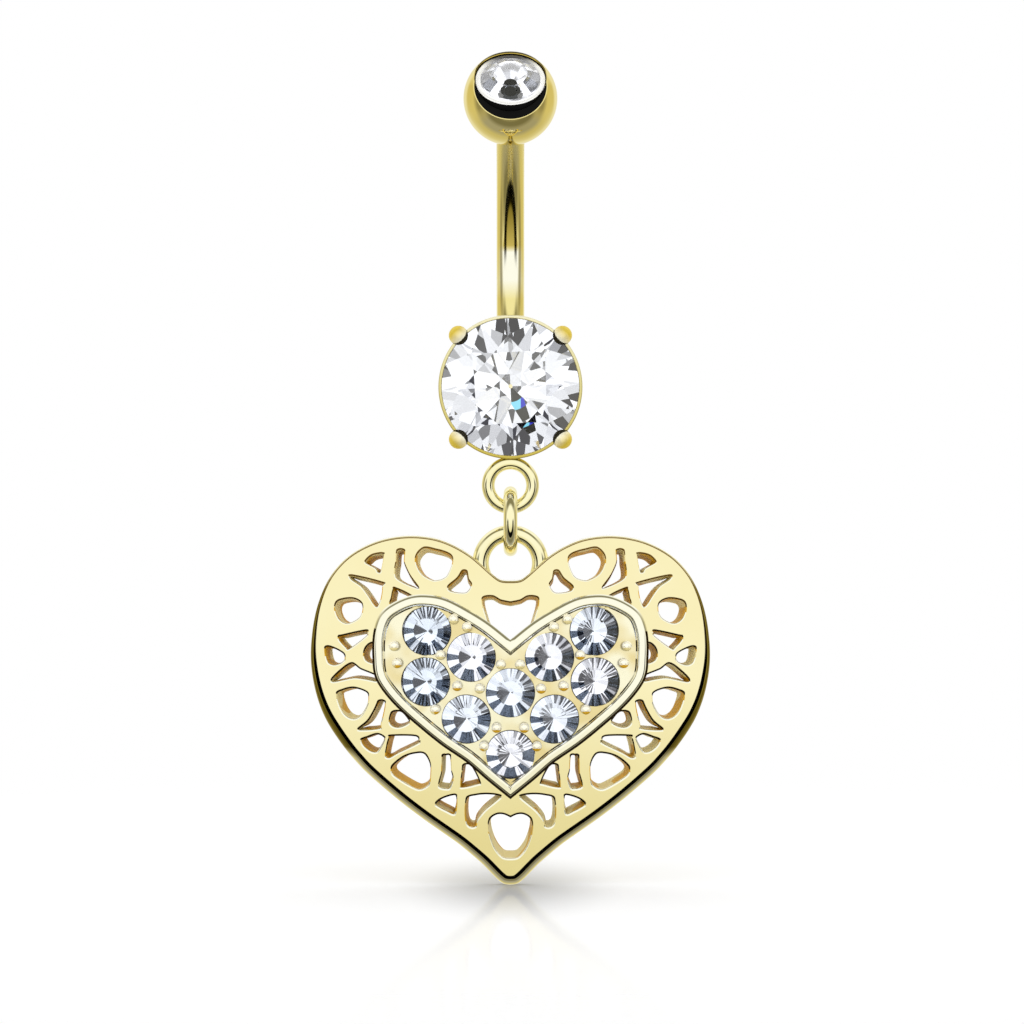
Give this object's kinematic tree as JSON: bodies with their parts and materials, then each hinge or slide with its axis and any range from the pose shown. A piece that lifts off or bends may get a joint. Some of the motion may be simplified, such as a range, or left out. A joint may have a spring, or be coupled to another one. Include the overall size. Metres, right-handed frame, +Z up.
{
  "type": "navel ring with heart pendant",
  "caption": "Curved barbell with a screw-on gem ball, a round stone in a prong basket and a pierced heart pendant set with small stones, hung by a jump ring.",
  "frame": {"origin": "middle of the curved bar's centre line, where the skin sits", "axes": "+Z up along the bar as worn, towards the ball; -Y to the front, where the stones face; +X to the viewer's right"},
  "size_m": [0.0228, 0.0099, 0.0478],
  "materials": {
    "gold": "polished yellow gold plating over steel and brass",
    "pale_gold": "polished pale gold plating over cast brass",
    "white_collar": "bright white polished collar",
    "crystal": "clear faceted crystal"
  },
  "bodies": {
    "barbell": {"barbell": "gold", "main_stone": "crystal"},
    "ball": {"top_ball": "gold", "gem_collar": "white_collar", "top_gem": "crystal"},
    "jump_ring": {"jump_ring": "gold"},
    "heart": {"heart": "pale_gold", "heart_stone_1": "crystal", "heart_stone_2": "crystal", "heart_stone_3": "crystal", "heart_stone_4": "crystal", "heart_stone_5": "crystal", "heart_stone_6": "crystal", "heart_stone_7": "crystal", "heart_stone_8": "crystal", "heart_stone_9": "crystal", "heart_stone_10": "crystal"}
  },
  "joints": [
    {"name": "ball_unscrew", "type": "slide", "parent": "barbell", "child": "ball", "axis": [0, -0.7071, 0.7071], "range_m": [0, 0.003]},
    {"name": "ring_swing", "type": "hinge", "parent": "barbell", "child": "jump_ring", "pos_m": [0, -0.00662, -0.01479], "axis": [1, 0, 0], "range_deg": [-90, 90]},
    {"name": "heart_sway", "type": "hinge", "parent": "jump_ring", "child": "heart", "pos_m": [0, -0.00662, -0.01719], "axis": [0, 1, 0], "range_deg": [-45, 45]}
  ]
}
